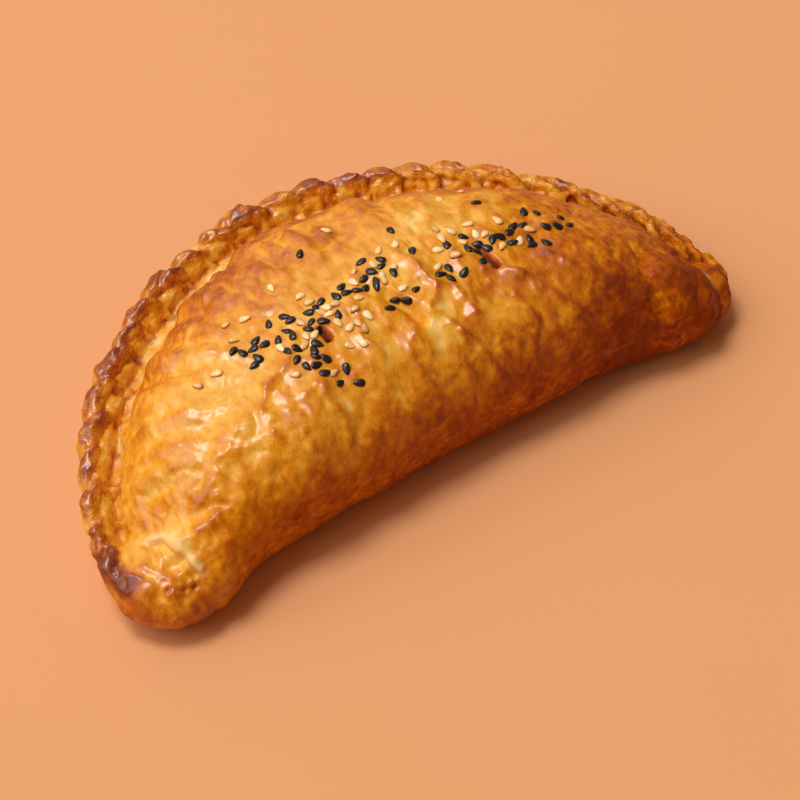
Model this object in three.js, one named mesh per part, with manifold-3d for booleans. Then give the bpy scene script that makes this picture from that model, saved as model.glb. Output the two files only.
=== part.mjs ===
// Cornish pasty: one baked piece of folded pastry with a twisted crimp, three steam vents
// and a scatter of sesame seeds. Millimetres, +Z up. X runs along the folded edge, +Y points
// from the fold to the crimp, and the pasty rests on z = 0.
import * as THREE from "three";
import { mergeVertices } from "three/addons/utils/BufferGeometryUtils.js";
import Module from "manifold-3d";

// ---- Driving dimensions ----
const middle = { x: -0.2, y: 39.2 }; // of the outline: the origin lies under it
// The crimp is a twisted strand along a skewed half oval.
const crimp = {
  centre: -0.6, // halfway between the ends of the crimp's centre line
  halfSpan: 94.5, // from there to each end
  depth: 84, // fold line to the crimp's centre line, where it is furthest back
  apex: -4, // where along the fold that is
  shoulder: 1.8, // powers of the superellipse that the centre line follows
  roundness: 1.9,
  endHeight: 8, // height of the centre line at both ends and at the back
  backHeight: 17.5,
  folds: 27,
  firstFold: 0.034, // shares of the crimp's length at which the first and the last fold lie
  lastFold: 0.988,
  strandRadius: 4.1,
  strandOffset: 3.4, // the strand's distance from the centre line
  strandWidth: 6.2, // half of it, along the crimp
  slant: 11, // how far along the crimp a strand runs while it crosses over
  lean: 2.1, // a fold's far side stands this much prouder than its near side
  endScale: 0.92, // size of the folds at both ends
  innerAngle: 205, // a strand starts beside the dome and ends under the outer side
  outerAngle: -62,
  coreRadius: 4.8,
};
const dome = {
  middle: 0.5, // middle of the dome's length
  halfLength: 90,
  rearInset: 4.5, // the dome stops this far inside the crimp's centre line
  height: 41,
  endHeight: 15, // height of the dome's blunt ends
  crest: 0.42, // where the crown lies between the front and the seam
  foldBulge: 4.8, // the fold's furthest reach in front of the fold line
  bulgeHeight: 16,
  footInset: 8, // the base is this much narrower than the bulge over it
  rearFoot: 13,
  seamHeight: 14,
  bluntness: 4.2,
  stations: 40,
};
// Where the fold swells forward: by the left corner, along the right half and at its shoulder.
const swells = [
  { x: -79, reach: 5.5, spread: 10 },
  { x: 40, reach: 1.8, spread: 28 },
  { x: 74, reach: 8, spread: 15 },
];
// The corners of the sheet, pressed round: the broad left one, the right one with the layer
// under it, and the end of the crimp tucked round it.
const corners = [
  { x: -86, y: 5, z: 9, length: 14.6, width: 15, height: 9 },
  { x: 80, y: 0, z: 10.5, length: 10.5, width: 13, height: 10.5 },
  { x: 77, y: -0.5, z: 3.4, length: 13, width: 8.5, height: 3.4 },
  { x: 89.5, y: -0.5, z: 8, length: 7, width: 9.5, height: 8 },
];
// Relief on the dome: slashes sink, and pleats and blisters rise.
const vents = [
  { x: -22.5, y: 22, length: 5, width: 2.6, depth: 5 },
  { x: 3, y: 21, length: 6.5, width: 3, depth: 3.5 },
  { x: 30, y: 20.5, length: 6, width: 2.8, depth: 6 },
];
const pleats = [
  { from: [15, 37], to: [7.5, 6], width: 3, rise: 1.8 },
  { from: [25, 26], to: [16, 8], width: 3, rise: 1.3 },
  { from: [36, 13], to: [46, -1], width: 3, rise: 1.4 },
  { from: [-15, 14], to: [-17, -1], width: 6, rise: 1.6 },
  { from: [-33, 13], to: [-38, -1], width: 7, rise: 1.8 },
];
const blisters = [
  { x: -57, y: 15, radius: 6, rise: 1.5 },
  { x: -70, y: 17, radius: 6.5, rise: 1.4 },
  { x: -70, y: 29, radius: 8, rise: 1.2 },
  { x: 80, y: -2, radius: 8, rise: 2 },
];
// A seed, with the share of its thickness that is bedded in the crust, and the least room between two.
const seed = { length: 3.3, width: 2, thickness: 1.3, bedded: 0.3, apart: 2.3 };
// Where the seeds fell: the middle of each drift, how far it spreads, and how many it holds.
const drifts = [
  { x: -49.5, y: 33.8, spread: 0.9, count: 2 },
  { x: -40, y: 32, spread: 13, count: 5 },
  { x: -39.5, y: 33.5, spread: 2.8, count: 7 },
  { x: -30, y: 21, spread: 2.4, count: 6 },
  { x: -29, y: 32, spread: 3.2, count: 11 },
  { x: -23.5, y: 26.5, spread: 2.4, count: 8 },
  { x: -23, y: 16, spread: 3.4, count: 6 },
  { x: -16, y: 33, spread: 2.4, count: 9 },
  { x: -12.5, y: 21, spread: 4.5, count: 7 },
  { x: -6, y: 33.5, spread: 2.3, count: 9 },
  { x: -6, y: 50, spread: 8, count: 5 },
  { x: 2.6, y: 35, spread: 2.8, count: 10 },
  { x: 4, y: 26, spread: 4, count: 6 },
  { x: 13, y: 42, spread: 3.5, count: 4 },
  { x: 19, y: 24, spread: 2.2, count: 5 },
  { x: 24, y: 34, spread: 3.2, count: 4 },
  { x: 30, y: 30, spread: 4.2, count: 13 },
  { x: 40, y: 40, spread: 5.5, count: 4 },
  { x: 42, y: 25, spread: 3.2, count: 10 },
  { x: 51, y: 22, spread: 5, count: 7 },
];

const group = new THREE.Group();
const wasm = await Module();
wasm.setup();

// ---- Small helpers ----
const { sin, cos, abs, sqrt, exp, max, min, hypot, PI } = Math;
const radians = THREE.MathUtils.degToRad;
const mix = THREE.MathUtils.lerp;
const clamp = THREE.MathUtils.clamp;

function seededRandom(start) {
  let state = start >>> 0;
  return () => {
    state = (state + 0x6d2b79f5) >>> 0;
    let t = state;
    t = Math.imul(t ^ (t >>> 15), t | 1);
    t ^= t + Math.imul(t ^ (t >>> 7), t | 61);
    return ((t ^ (t >>> 14)) >>> 0) / 4294967296;
  };
}

// A closed geometry becomes a solid, and a solid becomes a geometry again.
function solidOf(geometry) {
  const bare = geometry.clone();
  bare.deleteAttribute("normal");
  bare.deleteAttribute("uv");
  const merged = mergeVertices(bare, 1e-4);
  return new wasm.Manifold(
    new wasm.Mesh({
      numProp: 3,
      vertProperties: merged.attributes.position.array,
      triVerts: new Uint32Array(merged.index.array),
    }),
  );
}

function geometryOf(solid) {
  const { vertProperties, triVerts } = solid.getMesh();
  return new THREE.BufferGeometry()
    .setAttribute("position", new THREE.BufferAttribute(vertProperties, 3))
    .setIndex(new THREE.BufferAttribute(triVerts, 1));
}

// ---- The outline on the table ----
function crimpY(x) {
  const end = crimp.centre + (x < crimp.apex ? -crimp.halfSpan : crimp.halfSpan);
  const t = min((x - crimp.apex) / (end - crimp.apex), 1);
  return crimp.depth * (1 - t ** crimp.shoulder) ** (1 / crimp.roundness);
}

// The crimp's centre line, as a curve of even arc length.
class CrimpLine extends THREE.Curve {
  getPoint(t, target = new THREE.Vector3()) {
    const x = crimp.centre - crimp.halfSpan * cos(PI * t);
    const z = mix(crimp.endHeight, crimp.backHeight, sin(PI * t));
    return target.set(x, crimpY(x), z);
  }
}
const crimpLine = new CrimpLine();
crimpLine.arcLengthDivisions = 800;

// ---- Dome ----
// The measures of an upright cut through the dome at one place along it.
function domeCut(x) {
  const t = min(abs(x - dome.middle) / dome.halfLength, 1);
  const end = (1 - t ** dome.bluntness) ** (1 / dome.bluntness);
  const swell = (1 - t ** 2.6) ** (1 / 1.8);
  const forward = swells.reduce((sum, s) => sum + s.reach * fade(x - s.x, s.spread), 0);
  const rear = crimpY(x) - dome.rearInset;
  const front = -(dome.foldBulge + forward) * end;
  const middle = crimp.endHeight;
  const top = middle + (mix(dome.endHeight, dome.height, swell) - middle) * end;
  return {
    rear,
    front,
    crest: front + dome.crest * (rear - front),
    top,
    seam: mix(middle, dome.seamHeight, sqrt(1 - t * t)),
    bulge: min(mix(middle, dome.bulgeHeight, swell), 0.5 * (top + middle)),
    foot: middle * (1 - (1 - t ** 9) ** (1 / 9)),
  };
}

// A share that is 1 at the middle and fades at the given reach, the flatter the higher its power.
const fade = (off, reach, power = 2) => exp(-(abs(off / reach) ** power));

// How far the crust stands over its smooth form.
function relief(x, y) {
  let rise = 0;
  for (const v of vents) rise -= v.depth * fade(x - v.x, v.width) * fade(y - v.y, v.length, 4);
  for (const p of pleats) {
    const [dx, dy] = [p.to[0] - p.from[0], p.to[1] - p.from[1]];
    const along = clamp(((x - p.from[0]) * dx + (y - p.from[1]) * dy) / (dx * dx + dy * dy), 0, 1);
    const off = hypot(x - p.from[0] - along * dx, y - p.from[1] - along * dy);
    rise += p.rise * fade(off, p.width);
  }
  for (const b of blisters) rise += b.rise * fade(hypot(x - b.x, y - b.y), b.radius, 4);
  return rise;
}

// One cut, from the seam over the crown to the fold and back under.
function domeSection(x) {
  const c = domeCut(x);
  const width = c.rear - c.front;
  const inset = min(dome.footInset, 0.2 * width);
  const rearFoot = min(dome.rearFoot, 0.22 * width);
  const heel = c.rear - rearFoot;
  const points = [];
  const arc = (steps, place) => {
    for (let k = 0; k < steps; k++) points.push(place((k / steps) * (PI / 2)));
  };
  const raised = (y, z, share) => [x, y, z + relief(x, y) * share];
  arc(10, (a) => raised(mix(c.crest, c.rear, cos(a) ** 0.8), mix(c.seam, c.top, sin(a) ** 0.9), sin(a)));
  arc(9, (a) => raised(mix(c.crest, c.front, sin(a) ** 0.85), mix(c.bulge, c.top, cos(a) ** 0.9), cos(a)));
  arc(3, (a) => [x, c.front + inset * (1 - cos(a)), mix(c.bulge, c.foot, sin(a))]);
  arc(2, (a) => [x, mix(c.front + inset, heel, a / (PI / 2)), c.foot]);
  arc(3, (a) => [x, heel + rearFoot * sin(a), mix(c.foot, c.seam, 1 - cos(a))]);
  return points;
}

// Rings of points become a closed surface, with a single point at each end.
function ringedGeometry(rings, firstTip, lastTip) {
  const around = rings[0].length;
  const positions = [firstTip, ...rings.flat(), lastTip].flat();
  const last = rings.length * around + 1;
  const index = [];
  for (let j = 0; j < around; j++) {
    const next = (j + 1) % around;
    index.push(0, 1 + next, 1 + j);
    for (let i = 0; i < rings.length - 1; i++) {
      const a = 1 + i * around + j;
      const b = 1 + i * around + next;
      index.push(a, b, b + around, a, b + around, a + around);
    }
    index.push(last, last - around + j, last - around + next);
  }
  return new THREE.BufferGeometry()
    .setAttribute("position", new THREE.Float32BufferAttribute(positions, 3))
    .setIndex(index);
}

function domeGeometry() {
  const rings = [];
  for (let i = 1; i < dome.stations; i++) {
    rings.push(domeSection(dome.middle - dome.halfLength * cos((PI * i) / dome.stations)));
  }
  const tip = (side) => {
    const x = dome.middle + side * dome.halfLength;
    return [x, 0.5 * domeCut(x).rear, crimp.endHeight];
  };
  return ringedGeometry(rings, tip(-1), tip(1));
}

function cornerGeometry(corner) {
  const geometry = new THREE.SphereGeometry(1, 12, 7).rotateX(PI / 2);
  return geometry
    .scale(corner.length, corner.width, corner.height)
    .translate(corner.x, corner.y, corner.z);
}

// ---- Crimp ----
// A frame at a share of the crimp's length: its place, the way it runs, and the way out.
function crimpFrame(share) {
  const place = crimpLine.getPointAt(clamp(share, 0, 1));
  const along = crimpLine.getTangentAt(clamp(share, 0.004, 0.996));
  const out = new THREE.Vector3(-along.y, along.x, 0).normalize();
  const up = new THREE.Vector3().crossVectors(along, out).normalize();
  return { place, along, out, up };
}

// A sphere is drawn out into one fold of the crimp: a strand that starts beside the dome,
// rolls over the centre line and tucks under on the outside.
function foldGeometry(share, scale, turn) {
  const length = crimpLine.getLength();
  const geometry = new THREE.SphereGeometry(1, 6, 6);
  const position = geometry.attributes.position;
  for (let i = 0; i < position.count; i++) {
    const t = (1 - position.getY(i)) / 2;
    const angle = radians(mix(crimp.innerAngle, crimp.outerAngle, t) + turn);
    const here = crimpFrame(share + ((0.5 - t) * crimp.slant * scale) / length);
    const outward = here.out.clone().multiplyScalar(cos(angle)).addScaledVector(here.up, sin(angle));
    const across = -position.getX(i);
    const proud = position.getZ(i) * crimp.strandRadius + across * crimp.lean + crimp.strandOffset;
    const point = here.place.clone().addScaledVector(outward, proud * scale);
    point.addScaledVector(here.along, across * crimp.strandWidth * scale);
    position.setXYZ(i, ...point);
  }
  return geometry;
}

function foldSolids() {
  const random = seededRandom(29);
  const solids = [];
  for (let i = 0; i < crimp.folds; i++) {
    const even = i / (crimp.folds - 1);
    const share = mix(crimp.firstFold, crimp.lastFold, even);
    const ends = mix(crimp.endScale, 1, sin(PI * even));
    const scale = ends * (1 + 0.14 * (random() - 0.5)) * mix(1.04, 0.97, even);
    const jitter = (0.2 * (random() - 0.5)) / crimp.folds;
    const turn = 22 * (random() - 0.5);
    solids.push(solidOf(foldGeometry(share + jitter, scale, turn)));
  }
  return solids;
}

function coreGeometry() {
  const rings = [];
  const steps = 22;
  const sides = 6;
  for (let i = 0; i <= steps; i++) {
    const { place, out, up } = crimpFrame(i / steps);
    const radius = crimp.coreRadius * mix(0.7, 1, sqrt(abs(sin((PI * i) / steps))));
    const ring = [];
    for (let j = 0; j < sides; j++) {
      const a = (2 * PI * j) / sides;
      const point = place.clone().addScaledVector(out, radius * cos(a));
      ring.push(point.addScaledVector(up, radius * sin(a)).toArray());
    }
    rings.push(ring);
  }
  return ringedGeometry(rings, crimpFrame(0).place.toArray(), crimpFrame(1).place.toArray());
}

// ---- Seeds ----
// A teardrop: a low sphere that narrows to one end.
function seedGeometry(place, normal, heading) {
  const geometry = new THREE.SphereGeometry(0.5, 5, 3);
  const position = geometry.attributes.position;
  for (let i = 0; i < position.count; i++) {
    const y = position.getY(i);
    const taper = 1 - 0.7 * y;
    position.setXYZ(
      i,
      position.getX(i) * seed.width * taper,
      y * seed.length,
      position.getZ(i) * seed.thickness,
    );
  }
  geometry.rotateZ(heading);
  const lie = new THREE.Quaternion().setFromUnitVectors(new THREE.Vector3(0, 0, 1), normal);
  const lift = seed.thickness * (0.5 - seed.bedded);
  return geometry.applyQuaternion(lie).translate(...place.clone().addScaledVector(normal, lift));
}

// Each seed drops straight down onto the crust and lies flat on the face that it meets.
function seedSolids(crust) {
  const random = seededRandom(7);
  const drop = new THREE.Raycaster();
  const down = new THREE.Vector3(0, 0, -1);
  const placed = [];
  const solids = [];
  for (const d of drifts) {
    for (let k = 0; k < d.count; k++) {
      for (let tries = 0; tries < 40; tries++) {
        const reach = d.spread * sqrt(-2 * Math.log(1 - 0.9 * random()));
        const way = 2 * PI * random();
        const x = d.x + reach * cos(way);
        const y = d.y + reach * sin(way);
        const heading = PI * random();
        if (placed.some((p) => hypot(p[0] - x, p[1] - y) < seed.apart)) continue;
        placed.push([x, y]);
        drop.set(new THREE.Vector3(x, y, 2 * dome.height), down);
        const [met] = drop.intersectObject(crust);
        solids.push(solidOf(seedGeometry(met.point, met.face.normal, heading)));
        break;
      }
    }
  }
  return solids;
}

// ---- Assembly ----
// Joined solids as one closed body: its outer skin alone, so a hollow that the join seals is filled.
function join(solids) {
  const joined = solids.reduce((whole, part) => whole.add(part));
  return joined.decompose().reduce((a, b) => (a.volume() > b.volume() ? a : b));
}

const pastry = join([
  solidOf(domeGeometry()),
  ...corners.map((corner) => solidOf(cornerGeometry(corner))),
  solidOf(coreGeometry()),
  ...foldSolids(),
]);
const seeded = join([pastry, ...seedSolids(new THREE.Mesh(geometryOf(pastry)))]);
const mesh = new THREE.Mesh(
  geometryOf(seeded),
  new THREE.MeshStandardMaterial({ color: 0xd8892b, roughness: 0.42, metalness: 0 }),
);
mesh.name = "pasty";
mesh.position.set(-middle.x, -middle.y, 0);
group.add(mesh);

export default group;
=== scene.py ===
import math
from types import SimpleNamespace
import bpy
import numpy as np
from mathutils import Matrix, Vector
from mathutils.bvhtree import BVHTree
from mathutils.kdtree import KDTree


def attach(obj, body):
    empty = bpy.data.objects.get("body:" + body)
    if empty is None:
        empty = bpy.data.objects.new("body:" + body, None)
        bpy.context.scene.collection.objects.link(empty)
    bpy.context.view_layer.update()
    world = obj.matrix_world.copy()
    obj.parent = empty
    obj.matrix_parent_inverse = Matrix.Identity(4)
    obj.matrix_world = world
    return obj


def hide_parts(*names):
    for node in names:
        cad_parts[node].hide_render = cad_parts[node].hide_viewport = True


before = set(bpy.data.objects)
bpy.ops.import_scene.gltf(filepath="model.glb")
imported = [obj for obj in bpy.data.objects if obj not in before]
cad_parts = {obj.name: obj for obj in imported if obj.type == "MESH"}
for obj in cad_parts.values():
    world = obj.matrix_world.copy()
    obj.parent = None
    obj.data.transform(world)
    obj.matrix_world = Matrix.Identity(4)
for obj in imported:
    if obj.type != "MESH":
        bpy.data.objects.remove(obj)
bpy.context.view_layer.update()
bpy.ops.object.select_all(action="DESELECT")

# Shapes are worked out in millimetres in the fold's frame: x along the fold, y towards the crimp, z up.
outlineMiddle = np.array([-0.2, 39.2, 0.0])     # the part's origin, in that frame
millimetre = 0.001

view = {
    "azimuth": -36.13,      # degrees; the camera stands in front of the left end
    "elevation": 50.83,
    "distance": 758.8,
    "aim": (-5.43, 13.14, 15.0),
    "lens": 127.4,
}
studio = {
    "world": (1.0, 0.60, 0.34),
    "worldStrength": 0.24,
    "boxDistance": 3600,
    "softboxes": {
        "key": {"azimuth": 214, "elevation": 72, "size": 1350, "power": 69.0, "colour": (1.0, 0.96, 0.93)},
        "fill": {"azimuth": 248, "elevation": 42, "size": 3400, "power": 62.0, "colour": (1.0, 0.95, 0.91)},
        "back": {"azimuth": 172, "elevation": 36, "size": 3900, "power": 29.0, "colour": (1.0, 0.91, 0.82)},
    },
    "floorSize": 4000,
    "floorColour": (0.775, 0.387, 0.182),
    "floorMottle": 0.97,    # its darker tone, as a share of its colour
    "floorGrain": (9.0, 3.0),
    "floorRoughness": 0.85,
}


def toPart(points):
    return (np.asarray(points, float) - outlineMiddle) * millimetre


def wayFrom(azimuth, elevation):
    turn = math.radians(azimuth)
    rise = math.radians(elevation)
    return Vector((math.sin(turn) * math.cos(rise), -math.cos(turn) * math.cos(rise), math.sin(rise)))


def addCamera():
    camera = bpy.data.objects.new("camera", bpy.data.cameras.new("camera"))
    bpy.context.scene.collection.objects.link(camera)
    back = wayFrom(view["azimuth"], view["elevation"])
    camera.location = Vector(toPart(view["aim"])) + back * view["distance"] * millimetre
    camera.rotation_euler = back.to_track_quat("Z", "Y").to_euler()
    camera.data.lens = view["lens"]
    camera.data.sensor_width = 36
    camera.data.clip_start = 0.01
    bpy.context.scene.camera = camera


def addSoftbox(name, box):
    light = bpy.data.objects.new(name, bpy.data.lights.new(name, "AREA"))
    bpy.context.scene.collection.objects.link(light)
    way = wayFrom(box["azimuth"], box["elevation"])
    light.location = way * studio["boxDistance"] * millimetre
    light.rotation_euler = way.to_track_quat("Z", "Y").to_euler()
    light.data.shape = "DISK"
    light.data.size = box["size"] * millimetre
    light.data.energy = box["power"]
    light.data.color = box["colour"]


def addWorld():
    world = bpy.data.worlds.new("studio")
    bpy.context.scene.world = world
    world.use_nodes = True
    background = world.node_tree.nodes["Background"]
    background.inputs["Color"].default_value = (*studio["world"], 1)
    background.inputs["Strength"].default_value = studio["worldStrength"]
    bpy.context.scene.view_settings.view_transform = "Standard"


def addFloor():
    bpy.ops.mesh.primitive_plane_add(size=studio["floorSize"] * millimetre, location=(0, 0, 0))
    floor = bpy.context.object
    floor.name = "floor"
    bpy.ops.object.select_all(action="DESELECT")
    return floor


def mix(a, b, share):
    return a + (b - a) * share


def fade(off, reach, power=2):
    # 1 in the middle, falling off with the distance
    return np.exp(-np.abs(off / reach) ** power)


def smooth(low, high, value):
    # 0 at low and 1 at high, which may be the smaller of the two
    t = np.clip((value - low) / (high - low), 0, 1)
    return t * t * (3 - 2 * t)


def seededRandom(start):
    # a series of even random numbers in 0..1, the same each time
    state = start & 0xFFFFFFFF

    def draw():
        nonlocal state
        state = (state + 0x6D2B79F5) & 0xFFFFFFFF
        t = state
        t = ((t ^ (t >> 15)) * (t | 1)) & 0xFFFFFFFF
        t ^= (t + (((t ^ (t >> 7)) * (t | 61)) & 0xFFFFFFFF)) & 0xFFFFFFFF
        return ((t ^ (t >> 14)) & 0xFFFFFFFF) / 4294967296
    return draw


def latticeGradient(cell, seed):
    # three even random numbers in -1..1 for each lattice point
    h = (cell[:, 0] * 73856093) ^ (cell[:, 1] * 19349663) ^ (cell[:, 2] * 83492791) ^ (seed * 2654435761)
    h = h & 0xFFFFFFFF
    parts = []
    for salt in (0x9E3779B1, 0x85EBCA6B, 0xC2B2AE35):
        g = ((h ^ (h >> 15)) * salt) & 0xFFFFFFFF
        g = ((g ^ (g >> 13)) * 0x27D4EB2F) & 0xFFFFFFFF
        parts.append(((g ^ (g >> 16)) & 0xFFFFFF) / 8388608 - 1)
    return np.stack(parts, 1)


def waves(points, size, seed, octaves=1, stretch=(1, 1, 1)):
    # smooth noise of about -1..1, with bumps of the given size in millimetres
    total = np.zeros(len(points))
    weight = 1.0
    reach = 0.0
    for octave in range(octaves):
        p = points / (np.asarray(stretch) * size) * 2 ** octave + 17.3 * octave     # layers lie apart
        cell = np.floor(p).astype(np.int64)
        part = p - cell
        ease = part ** 3 * (part * (part * 6 - 15) + 10)
        layer = np.zeros(len(points))
        for corner in np.ndindex(2, 2, 2):
            corner = np.array(corner)
            slope = latticeGradient(cell + corner, seed + octave)
            share = np.where(corner, ease, 1 - ease).prod(1)
            layer += share * ((part - corner) * slope).sum(1)
        total += layer * weight
        reach += weight
        weight *= 0.5
    return total / reach * 1.9


crimp = {
    "centre": -0.6, "halfSpan": 94.5,       # halfway between its ends, and from there to each
    "depth": 84, "apex": -4, "shoulder": 1.8, "roundness": 1.9,
    "endHeight": 8, "backHeight": 17.5,
    "steps": 600, "fineSteps": 8000,        # of its centre line
    "folds": 27, "firstFold": 0.034, "lastFold": 0.988,
    "slant": 17, "flatSlant": 38, "lean": 0.8, "overhang": 0.3, "endScale": 0.92,
    "flatFrom": 0.60, "flatTo": 0.82,       # shares of the line; between them the folds grow long and flat
    "innerAngle": 160, "outerAngle": -78,
    "strandRadius": 3.7, "strandOffset": 1.3, "flatOffset": 2.6, "strandWidth": 5.9,
    "knuckleOut": 2.5, "knuckleUp": 1.8,
    "tailReach": 4.6, "tailDrop": 2.6,      # how far each fold's thin inner end runs towards the dome
    "tailBelly": 0.46, "belly": 1.05, "endThinning": 0.2, "flatThinning": 0.12,     # of each strand
    "tailTaper": 0.45, "flatTaper": 0.86,
    "wobble": (1.6, 71, 2), "wobbleRise": 0.16, "wobbleAhead": 0.08,        # its noise, as in the table below
    "coreRadius": 3.5, "coreOut": 2.0, "coreRise": 0.8,
    "flangeRadius": 3.4, "flangeIn": 4.9, "flangeRise": -1.7,
    "tubeLumps": (6, 81, 2), "lumpRise": 0.8, "tubeWander": (9, 83), "wanderOut": 0.9,
    # how unevenly the folds are drawn
    "widthSpread": 0.36, "proudSpread": 0.45, "reachSpread": 0.7, "turnSpread": 22,
    "scaleSpread": 0.14, "firstScale": 1.04, "lastScale": 0.97, "jitter": 0.2,
    "firstProud": 0.7, "proudStep": 0.1,
}
dome = {
    "middle": 0.5, "halfLength": 90, "rearInset": 6.8, "height": 41, "endHeight": 15, "crest": 0.42,
    "foldBulge": 4.8, "bulgeHeight": 16, "seamHeight": 14, "bluntness": 4.2,
    "footInset": 8, "insetMost": 0.2, "rearFoot": 13, "rearFootMost": 0.22,     # and most share of the width
    "footShare": 0.4,       # of a lower quarter that is rounded
    "swellShape": (2.6, 1.8), "footShape": 9,                   # powers of the rounding along it
    "rearPowers": (0.8, 0.9), "frontPowers": (0.85, 0.9),       # how full the upper quarters are
    "swells": [(-79, 5.5, 10), (40, 1.8, 28), (74, 8, 15)],      # x, reach forward, spread
}
corners = [  # x, y, z, then half length, width and height
    (-86, 5, 9, 14.6, 15, 9),
    (80, 0, 10.5, 10.5, 13, 10.5),
    (77, -0.5, 3.4, 13, 8.5, 3.4),
    (89.5, -0.5, 8, 7, 9.5, 8),
]
spheres = {  # segments and rings that each piece starts with
    "dome": (240, 200), "core": (32, 220), "flange": (20, 220), "corner": (48, 32), "fold": (40, 36),
}
caseNumber = -1     # stands where a point isn't on a fold
flangeNumber = -2
voxelSize = 0.71


def crimpY(x):
    end = crimp["centre"] + np.where(x < crimp["apex"], -1, 1) * crimp["halfSpan"]
    t = np.clip((x - crimp["apex"]) / (end - crimp["apex"]), 0, 1)
    return crimp["depth"] * (1 - t ** crimp["shoulder"]) ** (1 / crimp["roundness"])


def makeCrimpLine():
    # points evenly spaced along the crimp's centre line, with the ways along it, out of it and up
    t = np.linspace(0, 1, crimp["fineSteps"] + 1)
    x = crimp["centre"] - crimp["halfSpan"] * np.cos(math.pi * t)
    z = mix(crimp["endHeight"], crimp["backHeight"], np.sin(math.pi * t))
    fine = np.stack([x, crimpY(x), z], 1)
    run = np.concatenate([[0], np.cumsum(np.linalg.norm(np.diff(fine, axis=0), axis=1))])
    even = np.linspace(0, run[-1], crimp["steps"] + 1)
    place = np.stack([np.interp(even, run, fine[:, k]) for k in range(3)], 1)
    along = np.gradient(place, axis=0)
    along /= np.linalg.norm(along, axis=1)[:, None]
    out = np.stack([-along[:, 1], along[:, 0], np.zeros(len(along))], 1)
    out /= np.linalg.norm(out, axis=1)[:, None]
    return {"place": place, "along": along, "out": out, "up": np.cross(along, out), "length": run[-1]}


line = makeCrimpLine()


def crimpFrame(share):
    at = np.clip(share, 0, 1) * crimp["steps"]
    low = np.minimum(at.astype(int), crimp["steps"] - 1)
    part = (at - low)[:, None]
    return [mix(line[key][low], line[key][low + 1], part) for key in ("place", "along", "out", "up")]


def readPoints(mesh, name="co"):
    values = np.empty(len(mesh.vertices) * 3)
    mesh.vertices.foreach_get(name, values)
    return values.reshape(-1, 3)


def writePoints(mesh, points):
    mesh.vertices.foreach_set("co", np.ascontiguousarray(points, dtype=np.float32).ravel())
    mesh.update()


def addSphere(name):
    segments, rings = spheres[name]
    bpy.ops.mesh.primitive_uv_sphere_add(segments=segments, ring_count=rings, radius=1)
    piece = bpy.context.object
    piece.name = name
    return piece, readPoints(piece.data)


def domeCut(x):
    # the upright cut at each x: how far it reaches back and forward, and how high its parts lie
    t = np.clip(np.abs(x - dome["middle"]) / dome["halfLength"], 0, 1)
    end = (1 - t ** dome["bluntness"]) ** (1 / dome["bluntness"])
    swellPower, swellRoot = dome["swellShape"]
    swell = (1 - t ** swellPower) ** (1 / swellRoot)
    forward = sum(reach * fade(x - at, spread) for at, reach, spread in dome["swells"])
    rear = crimpY(x) - dome["rearInset"]
    front = -(dome["foldBulge"] + forward) * end
    level = crimp["endHeight"]
    top = level + (mix(dome["endHeight"], dome["height"], swell) - level) * end
    return {
        "rear": rear, "front": front, "top": top,
        "crest": front + dome["crest"] * (rear - front),
        "seam": mix(level, dome["seamHeight"], np.sqrt(1 - t * t)),
        "bulge": np.minimum(mix(level, dome["bulgeHeight"], swell), 0.5 * (top + level)),
        "foot": level * (1 - (1 - t ** dome["footShape"]) ** (1 / dome["footShape"])),
    }


def shapeDome(sphere):
    # the sphere's poles become the ends, and each upright cut runs from the seam over the crown and under
    x = dome["middle"] + dome["halfLength"] * sphere[:, 2]
    angle = np.mod(np.arctan2(sphere[:, 1], sphere[:, 0]), 2 * math.pi)
    c = domeCut(x)
    width = c["rear"] - c["front"]
    inset = np.minimum(dome["footInset"], dome["insetMost"] * width)
    rearFoot = np.minimum(dome["rearFoot"], dome["rearFootMost"] * width)
    heel = c["rear"] - rearFoot
    quarter = angle / (math.pi / 2)
    turn = (quarter % 1) * math.pi / 2
    foot = dome["footShare"]
    front = np.clip((quarter - 2) / foot, 0, 1) * math.pi / 2
    rear = np.clip((quarter - 4 + foot) / foot, 0, 1) * math.pi / 2
    flat = np.clip((quarter - 2 - foot) / (2 - 2 * foot), 0, 1)
    rearOut, rearUp = dome["rearPowers"]
    frontOut, frontUp = dome["frontPowers"]
    sections = [  # y and z over the rear and the front, round the front foot, underneath, round the rear foot
        (mix(c["crest"], c["rear"], np.cos(turn) ** rearOut),
         mix(c["seam"], c["top"], np.sin(turn) ** rearUp)),
        (mix(c["crest"], c["front"], np.sin(turn) ** frontOut),
         mix(c["bulge"], c["top"], np.cos(turn) ** frontUp)),
        (c["front"] + inset * (1 - np.cos(front)), mix(c["bulge"], c["foot"], np.sin(front))),
        (mix(c["front"] + inset, heel, flat), c["foot"]),
        (heel + rearFoot * np.sin(rear), mix(c["foot"], c["seam"], 1 - np.cos(rear))),
    ]
    spans = [quarter < 1, quarter < 2, quarter < 2 + foot, quarter < 4 - foot, quarter <= 4]
    y = np.select(spans, [section[0] for section in sections])
    z = np.select(spans, [section[1] for section in sections])
    atPole = np.abs(sphere[:, 2]) > 0.9999
    y[atPole] = 0.5 * c["rear"][atPole]
    z[atPole] = crimp["endHeight"]
    return np.stack([x, y, z], 1)


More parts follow.
